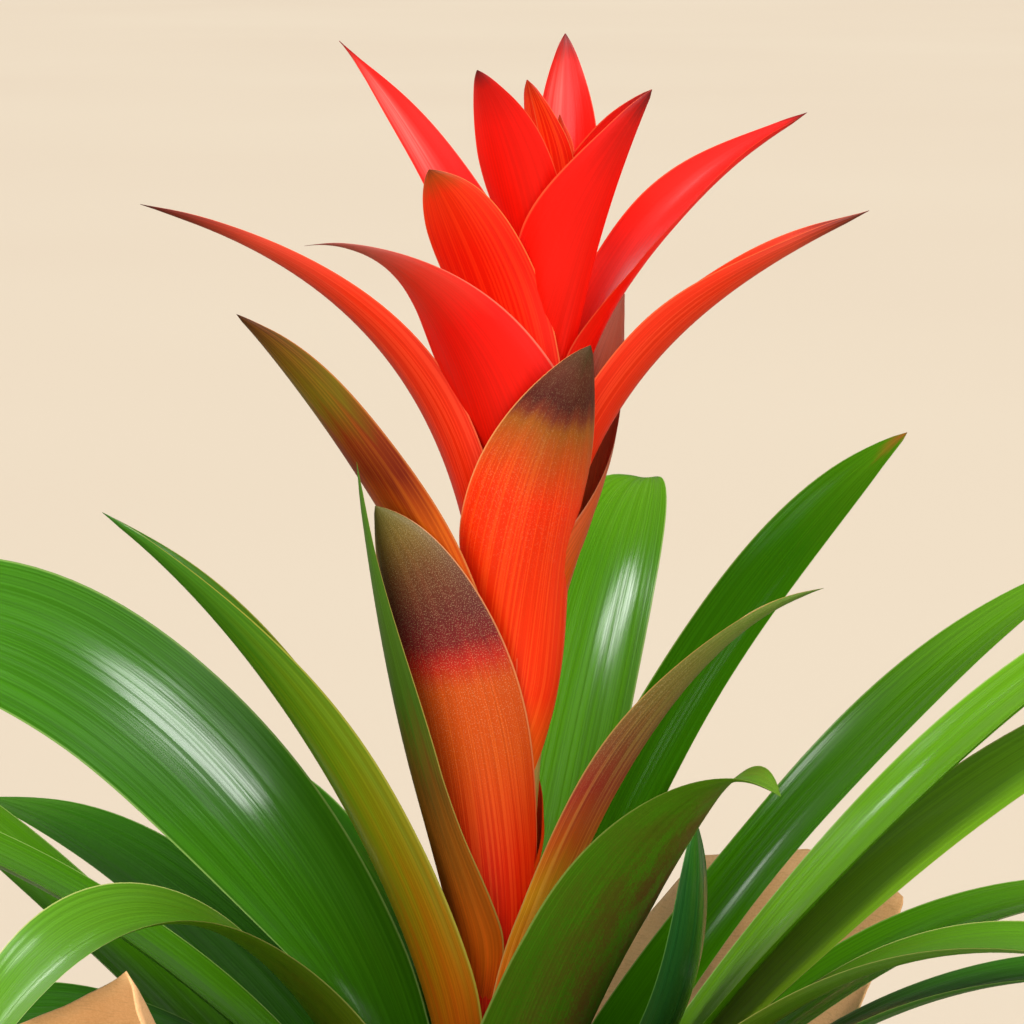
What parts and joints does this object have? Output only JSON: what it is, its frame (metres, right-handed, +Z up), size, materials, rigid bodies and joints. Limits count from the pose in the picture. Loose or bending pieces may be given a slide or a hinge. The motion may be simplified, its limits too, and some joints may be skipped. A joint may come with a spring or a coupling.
{
  "type": "potted guzmania",
  "caption": "Flowering bromeliad in a round nursery pot of soil, with strap leaves, a red bract spike and a kraft paper wrap.",
  "frame": {"origin": "on the pot's axis, at the surface that the wrapped pot stands on", "axes": "+Z up, -Y towards the plant's front as pictured, +X to the right of that view"},
  "size_m": [0.3927, 0.3414, 0.4383],
  "materials": {
    "paper": "matte",
    "pot": "satin",
    "soil": "matte",
    "bract": "satin",
    "leaf": "gloss"
  },
  "bodies": {
    "root": {"paper_wrap": "paper", "pot": "pot", "soil": "soil", "flower_spike": "bract", "leaf_01": "leaf", "leaf_02": "leaf", "leaf_03": "leaf", "leaf_04": "leaf", "leaf_05": "leaf", "leaf_06": "leaf", "leaf_07": "leaf", "leaf_08": "leaf", "leaf_09": "leaf", "leaf_10": "leaf", "leaf_11": "leaf", "leaf_12": "leaf", "leaf_13": "leaf", "leaf_14": "leaf", "leaf_15": "leaf", "leaf_16": "leaf", "leaf_17": "leaf", "leaf_18": "leaf", "leaf_19": "leaf", "leaf_20": "leaf", "leaf_21": "leaf", "leaf_22": "leaf", "leaf_23": "leaf"}
  },
  "joints": []
}
